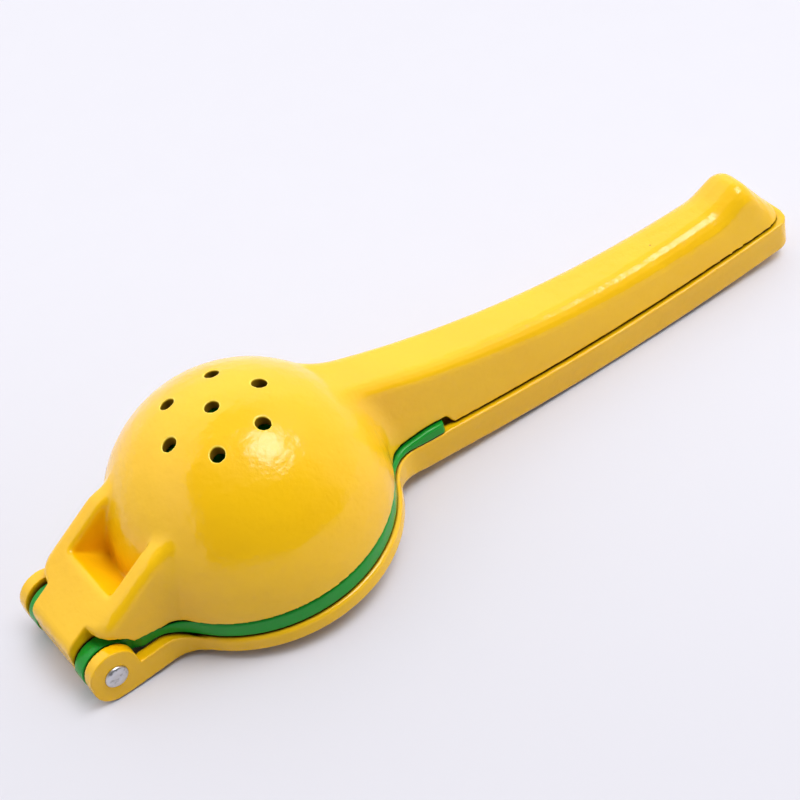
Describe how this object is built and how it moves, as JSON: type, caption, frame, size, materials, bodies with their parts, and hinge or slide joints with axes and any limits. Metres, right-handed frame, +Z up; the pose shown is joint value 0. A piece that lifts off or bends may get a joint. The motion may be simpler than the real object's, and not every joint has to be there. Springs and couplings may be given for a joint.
{
  "type": "hinged citrus squeezer",
  "caption": "Hand-held hinged citrus squeezer with a perforated lemon bowl, a nested lime cup and a domed press, on long hollow handles with a thumb hook.",
  "frame": {"origin": "on the surface that the closed tool lies on, under the centre of its bounding box", "axes": "+X from the hinge to the handle ends, +Y across the handles, +Z up; the bowl's own axis leans 5.6 degrees from +Z as the tool lies on its hinge ears and its handle"},
  "size_m": [0.235, 0.0752, 0.0533],
  "materials": {
    "lemon_enamel": "glossy",
    "lime_enamel": "glossy",
    "pin_steel": "satin"
  },
  "bodies": {
    "press": {"press_arm": "lemon_enamel", "hinge_pin": "pin_steel"},
    "lime": {"lime_cup": "lime_enamel"},
    "lemon": {"bowl_arm": "lemon_enamel"}
  },
  "joints": [
    {"name": "lime_cup_hinge", "type": "hinge", "parent": "press", "child": "lime", "pos_m": [-0.11056, 0, 0.00808], "axis": [0, -1, 0], "range_deg": [0, 90]},
    {"name": "bowl_arm_hinge", "type": "hinge", "parent": "lime", "child": "lemon", "pos_m": [-0.11056, 0, 0.00808], "axis": [0, -1, 0], "range_deg": [0, 90]}
  ]
}
